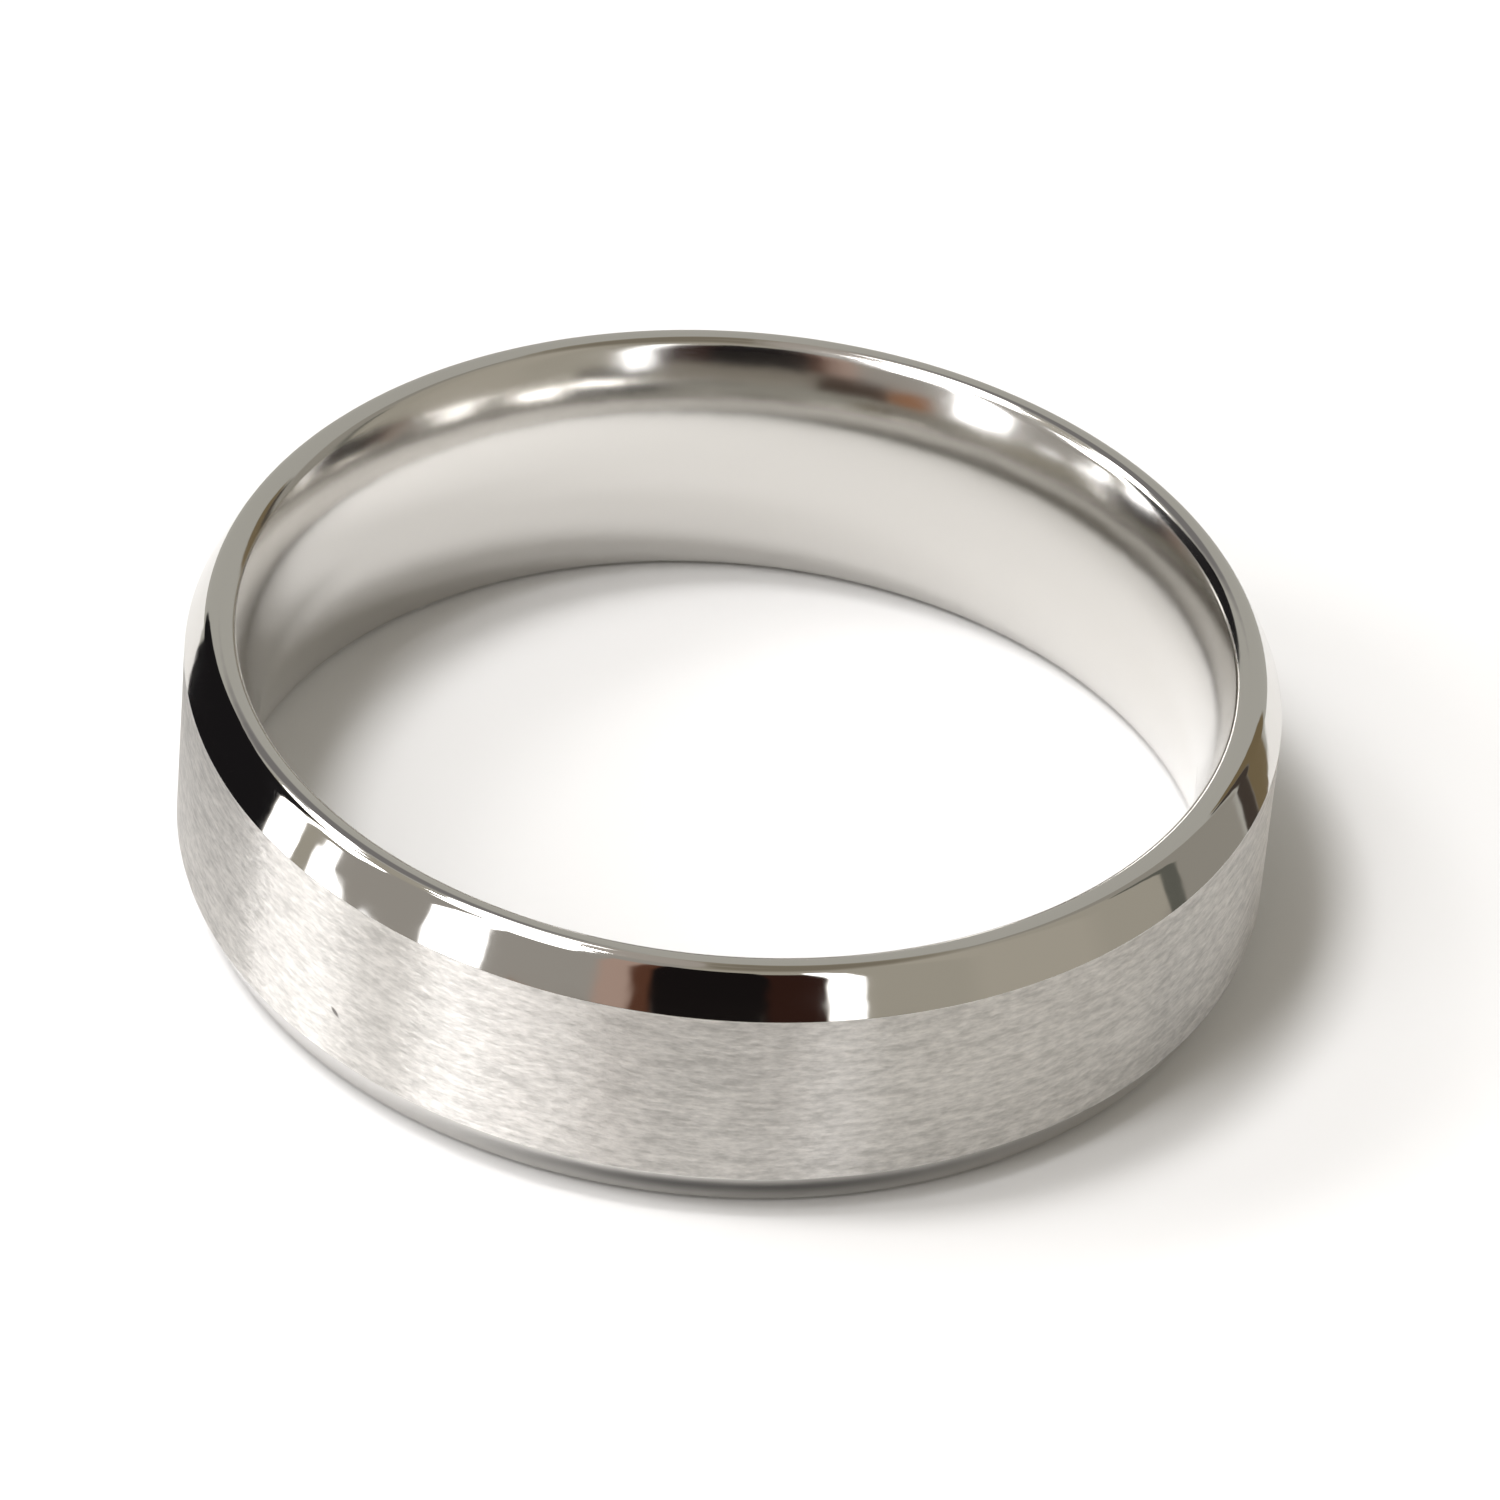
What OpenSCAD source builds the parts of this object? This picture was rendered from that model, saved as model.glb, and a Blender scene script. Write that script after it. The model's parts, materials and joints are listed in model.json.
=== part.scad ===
// Flat wedding band with a brushed face, polished bevels and a comfort-fit bore.
// It lies on its side: +Z is the axis of the ring, and z = 0 is what it lies on.

/* [Ring size] */
// Inside diameter at the middle of the bore, which sets the finger size
inner_d = 19.4; // [14:0.1:24]
// Wall thickness between the bore and the brushed face
wall_t = 1.6; // [1.5:0.1:2.4]
// Width of the band, along the axis of the ring
band_w = 6; // [5.5:0.1:8]

/* [Outside] */
// Width of the straight brushed face
face_w = 4.06; // [3:0.02:4.2]
// Lean of each polished bevel away from the axis of the ring, in degrees
bevel_angle = 26; // [20:1:32]
// Radius that rounds each side of the ring, from the bevel over to the bore
edge_r = 0.37; // [0.25:0.01:0.4]

/* [Bore] */
// Width of the straight land in the middle of the bore
land_w = 0.6; // [0.4:0.1:1.2]

/* [Hidden] */

// Facets in a full turn of the ring and in a full circle of its profile
turn_fn = 180;
edge_fn = 48;
dome_fn = 360;
// Overlap that makes an arc cross the line or arc it runs into, not just touch it
lap = 0.0002;

bore_r = inner_d / 2;
outer_r = bore_r + wall_t;
half_w = band_w / 2;
half_face = face_w / 2;
half_land = land_w / 2;

// Centre of each rounded edge, which touches the bevel and the side of the ring
edge_z = half_w - edge_r;
edge_x = outer_r - (edge_r + (edge_z - half_face) * sin(bevel_angle)) / cos(bevel_angle);

// Where the bevel runs into the rounded edge
bevel_r = edge_r - lap;
bevel_end = [edge_x + bevel_r * cos(bevel_angle), edge_z + bevel_r * sin(bevel_angle)];

// Radius of the dome that eases the bore, tangent to the land and to the rounded edge
dome_rise = edge_z - half_land;
dome_in = edge_x - bore_r;
dome_r = (dome_in * dome_in + dome_rise * dome_rise - edge_r * edge_r) / (2 * (dome_in - edge_r));
// The arc that is drawn is a little tighter, so that it crosses the rounded edge
dome_arc_r = dome_r - 25 * lap;

// Where the dome runs into the rounded edge
dome_tilt = asin(dome_rise / (dome_r - edge_r));
dome_end = [edge_x - edge_r * cos(dome_tilt), edge_z + edge_r * sin(dome_tilt)];

// Rounded edge at the top of the profile
module edge_round() {
    translate([edge_x, edge_z])
        circle(r = edge_r, $fn = edge_fn);
}

// Eased side of the bore, from the land up to the rounded edge
module bore_dome() {
    intersection() {
        translate([bore_r + dome_arc_r - lap, half_land])
            circle(r = dome_arc_r, $fn = dome_fn);
        polygon([[bore_r, half_land], [edge_x, half_land], [edge_x, edge_z], dome_end, [bore_r, dome_end[1]]]);
    }
}

// Upper half of the profile, from the mid-plane of the band to its rounded edge
module half_profile() {
    polygon([[bore_r, 0], [outer_r, 0], [outer_r, half_face], bevel_end, [edge_x, edge_z], [edge_x, half_land],
        [bore_r, half_land]]);
    edge_round();
    bore_dome();
}

// The whole ring: one profile turned about the axis, the same above and below its mid-plane
module band() {
    color("silver")
        translate([0, 0, half_w])
            rotate_extrude($fn = turn_fn) {
                half_profile();
                mirror([0, 1])
                    half_profile();
            }
}

band();
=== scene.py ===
"""A plain wedding band lying on a pale floor: brushed outside face, polished bevels, edges and bore."""
import json
import math

import bmesh
import bpy
from mathutils import Matrix, Vector


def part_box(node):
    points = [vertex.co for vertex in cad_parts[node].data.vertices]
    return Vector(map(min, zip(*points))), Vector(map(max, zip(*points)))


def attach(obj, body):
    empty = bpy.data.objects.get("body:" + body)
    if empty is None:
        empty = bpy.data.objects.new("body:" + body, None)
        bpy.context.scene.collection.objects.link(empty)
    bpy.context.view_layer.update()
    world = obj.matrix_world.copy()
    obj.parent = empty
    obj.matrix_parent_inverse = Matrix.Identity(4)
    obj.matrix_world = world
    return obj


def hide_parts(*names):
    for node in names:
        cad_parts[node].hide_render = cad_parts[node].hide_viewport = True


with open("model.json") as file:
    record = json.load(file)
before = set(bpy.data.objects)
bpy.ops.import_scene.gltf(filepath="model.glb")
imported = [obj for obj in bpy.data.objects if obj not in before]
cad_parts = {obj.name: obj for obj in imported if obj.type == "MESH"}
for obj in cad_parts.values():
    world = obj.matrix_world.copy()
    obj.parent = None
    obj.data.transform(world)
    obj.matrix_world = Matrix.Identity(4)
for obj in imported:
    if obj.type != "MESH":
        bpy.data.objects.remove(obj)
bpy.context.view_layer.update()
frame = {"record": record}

MM = 0.001

# ---- sizes of the band, from the frame and the part's own driving dimensions ----
low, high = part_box("band")
WIDTH = high.z - low.z
OUTER_R = (high.x - low.x) / 2
MID_Z = (low.z + high.z) / 2
MOUNTS = {mount["name"]: mount for mount in frame["record"]["mounts"]}
BORE_R = MOUNTS["finger_bore"]["dims"]["r_mm"] * MM
FACE_W = 4.06 * MM
BEVEL_LEAN = math.radians(26)
EDGE_R = 0.37 * MM
LAND_W = 0.6 * MM
# The corner between the brushed face and a bevel is sharp to the eye, but it still has a radius
CORNER_R = 0.03 * MM
# Polishing leaves a bevel very slightly crowned: its slope changes by this much each way
CROWN = math.radians(1.0)

# Segments in a full turn, and the steps that each stretch of the half profile is drawn in
TURN = 960
FACE_STEPS = 6
CORNER_STEPS = 4
BEVEL_STEPS = 8
EDGE_STEPS = 20
DOME_STEPS = 12


def arc(cx, cz, radius, start, stop, steps):
    """Points (r, z, normal angle) on an arc of the profile, from one normal angle to another."""
    points = []
    for i in range(steps + 1):
        a = start + (stop - start) * i / steps
        points.append((cx + radius * math.cos(a), cz + radius * math.sin(a), a))
    return points


def crowned(start, stop):
    """Points (r, z, normal angle) on the bevel, between its two ends but without them."""
    run = stop[0] - start[0]
    climb = stop[1] - start[1]
    bulge = math.hypot(run, climb) * CROWN / 4
    points = []
    for i in range(1, BEVEL_STEPS):
        t = i / BEVEL_STEPS
        out = bulge * (1 - (2 * t - 1) ** 2)
        r = start[0] + run * t + out * math.cos(BEVEL_LEAN)
        z = start[1] + climb * t + out * math.sin(BEVEL_LEAN)
        points.append((r, z, BEVEL_LEAN + CROWN * (2 * t - 1)))
    return points


def half_profile():
    """Upper half of the profile, from the middle of the face to the middle of the bore, z from the mid-plane.

    Returns (r, z, normal angle) points, and the number of them that lie on the brushed face."""
    half_face = FACE_W / 2
    half_land = LAND_W / 2
    edge_z = WIDTH / 2 - EDGE_R
    edge_x = OUTER_R - (EDGE_R + (edge_z - half_face) * math.sin(BEVEL_LEAN)) / math.cos(BEVEL_LEAN)
    rise = edge_z - half_land
    depth = edge_x - BORE_R
    dome_r = (depth * depth + rise * rise - EDGE_R * EDGE_R) / (2 * (depth - EDGE_R))
    dome_tilt = math.asin(rise / (dome_r - EDGE_R))

    # The small corner radius takes this much of the face and of the bevel
    cut = CORNER_R * math.tan(BEVEL_LEAN / 2)
    face = [(OUTER_R, (half_face - cut) * i / FACE_STEPS, 0.0) for i in range(FACE_STEPS)]
    corner = arc(OUTER_R - CORNER_R, half_face - cut, CORNER_R, 0.0, BEVEL_LEAN - CROWN, CORNER_STEPS)
    edge = arc(edge_x, edge_z, EDGE_R, BEVEL_LEAN + CROWN, math.pi - dome_tilt, EDGE_STEPS)
    bevel = crowned(corner[-1], edge[0])
    dome = arc(BORE_R + dome_r, half_land, dome_r, math.pi - dome_tilt, math.pi, DOME_STEPS)
    land = [(BORE_R, 0.0, math.pi)]
    return face + corner + bevel + edge + dome[1:] + land, len(face)


def band_mesh():
    """The whole ring as one closed mesh, with its exact normals."""
    upper, on_face = half_profile()
    lower = [(r, -z, -a) for r, z, a in reversed(upper[1:-1])]
    profile = upper + lower
    count = len(profile)
    verts, normals, faces, slots = [], [], [], []
    for k in range(TURN):
        turn = 2 * math.pi * k / TURN
        c = math.cos(turn)
        s = math.sin(turn)
        for r, z, a in profile:
            verts.append((r * c, r * s, MID_Z + z))
            normals.append((math.cos(a) * c, math.cos(a) * s, math.sin(a)))
    for k in range(TURN):
        here = k * count
        there = (k + 1) % TURN * count
        for j in range(count):
            following = (j + 1) % count
            faces.append((here + j, there + j, there + following, here + following))
            on_brushed = j < on_face or j >= count - on_face
            slots.append(0 if on_brushed else 1)
    mesh = bpy.data.meshes.new("band_body")
    mesh.from_pydata(verts, [], faces)
    mesh.polygons.foreach_set("material_index", slots)
    mesh.polygons.foreach_set("use_smooth", [True] * len(faces))
    mesh.update()
    mesh.normals_split_custom_set_from_vertices(normals)
    return mesh


# ---- materials ----
POLISHED_STEEL = (0.665, 0.65, 0.622, 1)
# The brushed face varies between these two
BRUSHED_DARK = (0.54, 0.525, 0.50, 1)
BRUSHED_LIGHT = (0.81, 0.785, 0.75, 1)
# Painted shade for the one dent in the brushed face, which has no shape of its own
PAINTED_NICK_SHADE = (0.20, 0.19, 0.18, 1)

# Cells of noise to the metre, on each axis
FINE_GRAIN = (3400, 3400, 10500)
BROAD_GRAIN = (1000, 1000, 5200)
POLISH_WAVE = (900, 900, 900)
POLISH_HAZE = (300, 300, 1200)
FINE_SHARE = 0.6
BROAD_SHARE = 0.4
GRAIN_DEPTH = 0.024 * MM
WAVE_DEPTH = 0.006 * MM

# The bore and the inner side of each edge, inside these radii, are polished less finely than the bevels
INNER_START_R = OUTER_R - 0.8 * MM
INNER_FULL_R = OUTER_R - 1.0 * MM
INNER_ROUGHNESS = 0.09

# The one small dent in the brushed face, which is only painted into the colour as a dark spot of shade: its
# place, left of the front and below the middle, and half sizes
NICK_TURN = math.radians(-40.7)
NICK_DROP = 0.87 * MM
NICK_LEAN = math.radians(35)
NICK_SIZE = (0.17 * MM, 0.17 * MM, 0.07 * MM)


class Nodes:
    """A short way to add and join the nodes of a material or a world."""

    def __init__(self, owner):
        owner.use_nodes = True
        self.tree = owner.node_tree
        self.tree.nodes.clear()

    def add(self, kind, settings=None, **inputs):
        """Adds a node. An input goes by its name, with _ for a space, or by its number as in i0."""
        node = self.tree.nodes.new(kind)
        for key, value in (settings or {}).items():
            setattr(node, key, value)
        for key, value in inputs.items():
            numbered = key[0] == "i" and key[1:].isdigit()
            socket = int(key[1:]) if numbered else key.replace("_", " ")
            self.put(node.inputs[socket], value)
        return node

    def put(self, socket, value):
        if isinstance(value, bpy.types.NodeSocket):
            self.tree.links.new(value, socket)
        else:
            socket.default_value = value

    def math(self, operation, *values):
        node = self.add("ShaderNodeMath", {"operation": operation})
        for socket, value in zip(node.inputs, values):
            self.put(socket, value)
        return node.outputs[0]

    def point(self):
        """The point on the object, in metres."""
        return self.add("ShaderNodeTexCoord").outputs["Object"]

    def stretched(self, scale):
        """The point on the object, in metres, stretched by a scale on each axis."""
        spot = self.point()
        return self.add("ShaderNodeVectorMath", {"operation": "MULTIPLY"}, i0=spot, i1=scale).outputs[0]

    def length(self, vector):
        return self.add("ShaderNodeVectorMath", {"operation": "LENGTH"}, i0=vector).outputs["Value"]

    def noise(self, cells, detail, roughness):
        node = self.add("ShaderNodeTexNoise", Vector=self.stretched(cells), Scale=1.0, Detail=detail)
        node.inputs["Roughness"].default_value = roughness
        return node.outputs[0]

    def ramp(self, value, start, stop, first=0.0, last=1.0, shape="SMOOTHSTEP"):
        """Goes from first to last while the value goes from start to stop, and stays level outside them."""
        node = self.add("ShaderNodeMapRange", {"interpolation_type": shape}, Value=value)
        node.inputs["From Min"].default_value = start
        node.inputs["From Max"].default_value = stop
        node.inputs["To Min"].default_value = first
        node.inputs["To Max"].default_value = last
        return node.outputs[0]

    def mix(self, factor, first, last, label=""):
        node = self.add("ShaderNodeMix", {"data_type": "RGBA", "label": label}, Factor=factor)
        self.put(node.inputs[6], first)
        self.put(node.inputs[7], last)
        return node.outputs[2]

    def bump(self, height, depth):
        return self.add("ShaderNodeBump", Strength=1.0, Distance=depth, Height=height).outputs[0]


def painted_nick_shade_mask(n):
    """1 inside the dent, where its shade is painted, and 0 everywhere else."""
    place = n.add("ShaderNodeMapping", {"vector_type": "TEXTURE"}, Vector=n.point())
    x = OUTER_R * math.sin(NICK_TURN)
    y = -OUTER_R * math.cos(NICK_TURN)
    place.inputs["Location"].default_value = (x, y, MID_Z - NICK_DROP)
    place.inputs["Rotation"].default_value = (0, NICK_LEAN, NICK_TURN)
    place.inputs["Scale"].default_value = NICK_SIZE
    return n.ramp(n.length(place.outputs[0]), 1.0, 0.4)


def brushed_steel():
    """Steel brushed round the band: short fine scratches along the turn, dull across them."""
    mat = bpy.data.materials.new("brushed_steel")
    n = Nodes(mat)
    fine = n.noise(FINE_GRAIN, 2.0, 0.6)
    broad = n.noise(BROAD_GRAIN, 2.0, 0.5)
    grain = n.math("ADD", n.math("MULTIPLY", fine, FINE_SHARE), n.math("MULTIPLY", broad, BROAD_SHARE))
    tone = n.ramp(grain, 0.35, 0.65, shape="LINEAR")
    colour = n.mix(tone, BRUSHED_DARK, BRUSHED_LIGHT)
    tangent = n.add("ShaderNodeTangent", {"direction_type": "RADIAL", "axis": "Z"})
    shader = n.add("ShaderNodeBsdfPrincipled", Metallic=1.0, Roughness=0.36, Anisotropic=1.0)
    shader.inputs["Anisotropic Rotation"].default_value = 0.25
    # The dent is painted into the colour as a dark spot of shade
    n.put(shader.inputs["Base Color"], n.mix(painted_nick_shade_mask(n), colour, PAINTED_NICK_SHADE))
    n.put(shader.inputs["Normal"], n.bump(grain, GRAIN_DEPTH))
    n.put(shader.inputs["Tangent"], tangent.outputs[0])
    n.add("ShaderNodeOutputMaterial", Surface=shader.outputs[0])
    return mat


def polished_steel():
    """Steel polished to a mirror, with the faint waviness that hand polishing leaves."""
    mat = bpy.data.materials.new("polished_steel")
    n = Nodes(mat)
    wave = n.noise(POLISH_WAVE, 2.0, 0.5)
    haze = n.noise(POLISH_HAZE, 4.0, 0.6)
    rough = n.ramp(haze, 0.3, 0.7, 0.03, 0.07, shape="LINEAR")
    inner = n.ramp(n.length(n.stretched((1, 1, 0))), INNER_START_R, INNER_FULL_R, 0.0, INNER_ROUGHNESS)
    shader = n.add("ShaderNodeBsdfPrincipled", Metallic=1.0)
    shader.inputs["Base Color"].default_value = POLISHED_STEEL
    n.put(shader.inputs["Roughness"], n.math("ADD", rough, inner))
    n.put(shader.inputs["Normal"], n.bump(wave, WAVE_DEPTH))
    n.add("ShaderNodeOutputMaterial", Surface=shader.outputs[0])
    return mat


def band():
    piece = bpy.data.objects.new("band_body", band_mesh())
    bpy.context.scene.collection.objects.link(piece)
    piece.data.materials.append(brushed_steel())
    piece.data.materials.append(polished_steel())
    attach(piece, "root")
    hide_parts("band")
    return piece


# ---- stage ----
SHEET_R = 24 * MM
FLOOR_R = 1.5
FLOOR_GREY = (0.76, 0.758, 0.75, 1)

# The cards, which hold painted shadow, lie this far above the floor, and the contact card meets the shade
# card at this radius
CARD_LIFT = 0.002 * MM
CARDS_MEET_R = OUTER_R + 0.05 * MM
CARD_SEGMENTS = 360

# The contact card, a painted contact shadow, is darkest at one radius and mostly light again at a smaller one
CONTACT_DARK_R = OUTER_R - 0.18 * MM
CONTACT_LIGHT_R = OUTER_R - 0.42 * MM
CONTACT_INNER_R = OUTER_R - 0.62 * MM
CONTACT_LEFT_OVER = 0.2
# Its painted shadow grey at the front, round this x, and at the sides
CONTACT_FRONT_X = 1.0 * MM
PAINTED_SHADOW_FRONT_GREY = 0.19
PAINTED_SHADOW_SIDE_GREY = 0.72

# The card of painted shade reaches out to this radius, and its full strength this far to the right
SHADE_R = OUTER_R + 5.0 * MM
SHADE_FULL_X = 6.0 * MM
PAINTED_SHADE_GREY = (0.46, 0.46, 0.46, 1)


def circle(bm, radius, z, segments):
    """The points of a circle, or its centre alone where the radius is 0."""
    if radius == 0:
        return [bm.verts.new((0, 0, z))]
    points = []
    for k in range(segments):
        turn = 2 * math.pi * k / segments
        points.append(bm.verts.new((radius * math.cos(turn), radius * math.sin(turn), z)))
    return points


def disc(name, inner, outer, z, material, segments=96):
    mesh = bpy.data.meshes.new(name)
    bm = bmesh.new()
    inside = circle(bm, inner, z, segments)
    outside = circle(bm, outer, z, segments)
    for k in range(segments):
        m = (k + 1) % segments
        if inner == 0:
            bm.faces.new((inside[0], outside[k], outside[m]))
        else:
            bm.faces.new((inside[k], outside[k], outside[m], inside[m]))
    bm.to_mesh(mesh)
    bm.free()
    piece = bpy.data.objects.new(name, mesh)
    piece.data.materials.append(material)
    bpy.context.scene.collection.objects.link(piece)
    return piece


def floor():
    """The near floor, which the band mirrors, and a far floor, which it does not."""
    mat = bpy.data.materials.new("pale_floor")
    mat.use_nodes = True
    shader = mat.node_tree.nodes["Principled BSDF"]
    shader.inputs["Base Color"].default_value = FLOOR_GREY
    shader.inputs["Roughness"].default_value = 0.9
    shader.inputs["Specular IOR Level"].default_value = 0.1
    disc("floor_sheet", 0, SHEET_R, low.z, mat)
    far = disc("floor_far", SHEET_R, FLOOR_R, low.z, mat)
    far.visible_glossy = False


def floor_card(name, inner, outer, colour_at):
    """A flat ring just above the floor that only reflections see, painted with shadow. Its colour comes from
    x and the radius.
    """
    mat = bpy.data.materials.new(name + "_grey")
    n = Nodes(mat)
    point = n.point()
    axes = n.add("ShaderNodeSeparateXYZ", Vector=point)
    shader = n.add("ShaderNodeBsdfDiffuse", Color=colour_at(n, axes.outputs[0], n.length(point)))
    n.add("ShaderNodeOutputMaterial", Surface=shader.outputs[0])
    piece = disc(name + "_card", inner, outer, low.z + CARD_LIFT, mat, CARD_SEGMENTS)
    piece.visible_camera = False
    piece.visible_diffuse = False
    piece.visible_shadow = False
    piece.visible_transmission = False


def painted_contact_shadow_colour(n, x, radius):
    """Paints the contact shadow that the lower bevel mirrors as its dark line, darkest at the front and
    fading towards the sides.
    """
    off = n.math("ABSOLUTE", n.math("SUBTRACT", x, CONTACT_FRONT_X))
    grey = n.ramp(off, 1.0 * MM, 8.0 * MM, PAINTED_SHADOW_FRONT_GREY, PAINTED_SHADOW_SIDE_GREY)
    outer = n.ramp(radius, CARDS_MEET_R, CONTACT_DARK_R)
    inner = n.ramp(radius, CONTACT_DARK_R, CONTACT_LIGHT_R, 1.0, CONTACT_LEFT_OVER)
    return n.mix(n.math("MULTIPLY", outer, inner), FLOOR_GREY, grey)


def painted_shade_colour(n, x, radius):
    """Paints shadow on the floor that the brushed face mirrors, so the face is darker at the front right, as
    the photograph shows it.
    """
    side = n.ramp(x, 0.0, SHADE_FULL_X)
    near = n.ramp(radius, SHADE_R, OUTER_R)
    return n.mix(n.math("MULTIPLY", side, near), FLOOR_GREY, PAINTED_SHADE_GREY)


# The room round the band: name, azimuth from and to, elevation from and to, edge softness, colour, strength.
# Azimuth 0 is behind the band, 90 to its right, 180 towards the camera. A later row covers an earlier one.
WALL = (0.45, 0.42, 0.355)
# Rounding of the panels' corners, in degrees
CORNER = 5.0
WHITE = (1.0, 0.995, 1.01)
PANELS = [
    ("left_wall", -175, -100, -90, 70, 4, (0.40, 0.377, 0.345), 1.0),
    ("right_front_wall", 102, 128, -90, 66, 4, (0.49, 0.455, 0.385), 1.0),
    ("ceiling_left", -180, 0, 70, 90, 4, (0.46, 0.42, 0.38), 1.0),
    ("ceiling_right", 0, 180, 68, 90, 8, (0.25, 0.22, 0.17), 1.0),
    ("table", -180, 180, -90, -4, 1, (0.36, 0.33, 0.29), 1.0),
    ("back_wall", -60, 60, -22, 68, 2, (0.51, 0.50, 0.46), 1.0),
    ("back_shade", -50, -8, 40, 64, 4, (0.24, 0.23, 0.23), 1.0),
    ("right_wall", 60, 80, -90, 68, 1, (0.36, 0.34, 0.30), 1.0),
    ("door_gap", 80, 84.5, -12, 40, 0.5, (0.14, 0.14, 0.12), 1.0),
    ("wood_post", 42, 52.5, -90, 35, 0.5, (0.21, 0.16, 0.09), 1.0),
    ("post_shade", 52.5, 58, -90, 30, 0.5, (0.07, 0.055, 0.045), 1.0),
    ("dark_left", -84.5, -41, -90, 38, 0.5, (0.012, 0.011, 0.012), 1.0),
    ("key_rear", -76, -30, 66, 78, 0.5, WHITE, 4.0),
    ("key_back_low", -84, -62, 41, 51, 0.5, WHITE, 11.0),
    ("key_back", -68, -50, 50, 56, 0.5, WHITE, 5.0),
    ("key_mid", -126, -100, 54, 72, 0.5, WHITE, 4.0),
    ("key", -142, -124, 54, 72, 0.5, WHITE, 18.0),
    ("key_top", -106, -80, 62, 77, 0.5, WHITE, 34.0),
    ("window_left", -103, -88, 22, 42, 0.5, WHITE, 9.0),
    ("window_left_pane", -93, -85, -7, 24, 0.5, WHITE, 4.0),
    ("window_left_slim", -102.5, -99, -2, 8, 0.5, WHITE, 4.0),
    ("window_left_low", -108, -97, -6, 2.5, 0.5, WHITE, 4.0),
    ("window_sill", -118, -110, -4, 3.2, 0.3, WHITE, 2.0),
    ("window_front_left", -150, -123.5, 34, 58, 0.5, WHITE, 4.0),
    ("window_front_left_low", -137, -124.5, 3, 38, 0.5, WHITE, 4.0),
    ("warm_side_left", -167, -159, 4, 48, 1.5, (0.50, 0.36, 0.30), 1.0),
    ("brown_side_left", -170, -165.5, 4, 50, 0.8, (0.12, 0.05, 0.03), 1.0),
    ("brown_side_right", 157, 169, 4, 48, 0.5, (0.035, 0.014, 0.010), 1.0),
    ("grey_below_front", 158, -160, 3, 9.5, 0.5, (0.28, 0.25, 0.21), 1.0),
    ("dark_front", 168, -169, 9, 54, 0.8, (0.010, 0.008, 0.008), 1.0),
    ("brown_low_left", -168, -152, 0, 9, 0.5, (0.05, 0.03, 0.02), 1.0),
    ("orange_low_left", -152, -142, 1, 8, 0.8, (0.34, 0.13, 0.04), 1.0),
    ("brown_low_right", 140, 157, 3, 8, 0.5, (0.05, 0.04, 0.03), 1.0),
    ("window_slim", 149.5, 156.5, 6, 56, 0.5, WHITE, 2.6),
]


def depth_inside(n, value, start, stop, wraps):
    """How far a direction is inside a panel on one axis, in degrees."""
    off = n.math("SUBTRACT", value, (start + stop) / 2)
    if wraps:
        off = n.math("WRAP", off, 180.0, -180.0)
    return n.math("SUBTRACT", (stop - start) / 2, n.math("ABSOLUTE", off))


def panel_mask(n, azimuth, elevation, across, upward, soft):
    """1 inside a panel and 0 outside it, with rounded corners and soft edges."""
    start, stop = across
    if stop < start:
        stop += 360
    sideways = depth_inside(n, azimuth, start, stop, True)
    vertical = depth_inside(n, elevation, *upward, False)
    inside = n.math("SMOOTH_MIN", sideways, vertical, CORNER)
    return n.ramp(inside, -soft, soft)


def room():
    """The room round the band as the world's light: plain walls, bright windows and keys, a few dark things.

    The camera itself sees plain white in place of the room."""
    world = bpy.data.worlds.new("room")
    bpy.context.scene.world = world
    n = Nodes(world)
    coords = n.add("ShaderNodeTexCoord")
    axes = n.add("ShaderNodeSeparateXYZ", Vector=coords.outputs["Generated"])
    azimuth = n.math("MULTIPLY", n.math("ARCTAN2", axes.outputs[0], axes.outputs[1]), 180 / math.pi)
    elevation = n.math("MULTIPLY", n.math("ARCSINE", axes.outputs[2]), 180 / math.pi)
    wall = n.add("ShaderNodeRGB")
    wall.outputs[0].default_value = (*WALL, 1)
    colour = wall.outputs[0]
    for name, az0, az1, el0, el1, soft, tint, strength in PANELS:
        mask = panel_mask(n, azimuth, elevation, (az0, az1), (el0, el1), soft)
        glow = (*[c * strength for c in tint], 1)
        colour = n.mix(mask, colour, glow, name)
    light = n.add("ShaderNodeBackground", Color=colour)
    plain = n.add("ShaderNodeBackground", Strength=1.0)
    plain.inputs["Color"].default_value = (1, 1, 1, 1)
    seen = n.add("ShaderNodeLightPath").outputs["Is Camera Ray"]
    shown = n.add("ShaderNodeMixShader", i0=seen, i1=light.outputs[0], i2=plain.outputs[0])
    n.add("ShaderNodeOutputWorld", Surface=shown.outputs[0])


CAMERA_ELEVATION = math.radians(37.76)
CAMERA_DISTANCE = 205.3 * MM
CAMERA_ROLL = math.radians(5.13)
CAMERA_PAN = math.radians(0.13)
LENS = 238.3
SENSOR_WIDTH = 36


def camera():
    """A long lens at the front of the band, looking down at it."""
    data = bpy.data.cameras.new("camera")
    data.lens = LENS
    data.sensor_width = SENSOR_WIDTH
    data.clip_start = 0.01
    data.clip_end = 10
    eye = bpy.data.objects.new("camera", data)
    bpy.context.scene.collection.objects.link(eye)
    target = Vector((0, 0, MID_Z))
    away = Vector((0, -math.cos(CAMERA_ELEVATION), math.sin(CAMERA_ELEVATION)))
    eye.location = target + CAMERA_DISTANCE * away
    facing = (-away).to_track_quat("-Z", "Y").to_matrix()
    turn = Matrix.Rotation(CAMERA_ROLL, 3, "Z") @ Matrix.Rotation(-CAMERA_PAN, 3, "Y")
    eye.rotation_euler = (facing @ turn).to_euler()
    bpy.context.scene.camera = eye


camera()
band()
floor()
# Two cards of painted shadow on the floor, which only reflections see
floor_card("contact", CONTACT_INNER_R, CARDS_MEET_R, painted_contact_shadow_colour)
floor_card("shade", CARDS_MEET_R, SHADE_R, painted_shade_colour)
room()
bpy.context.scene.view_settings.view_transform = "Standard"
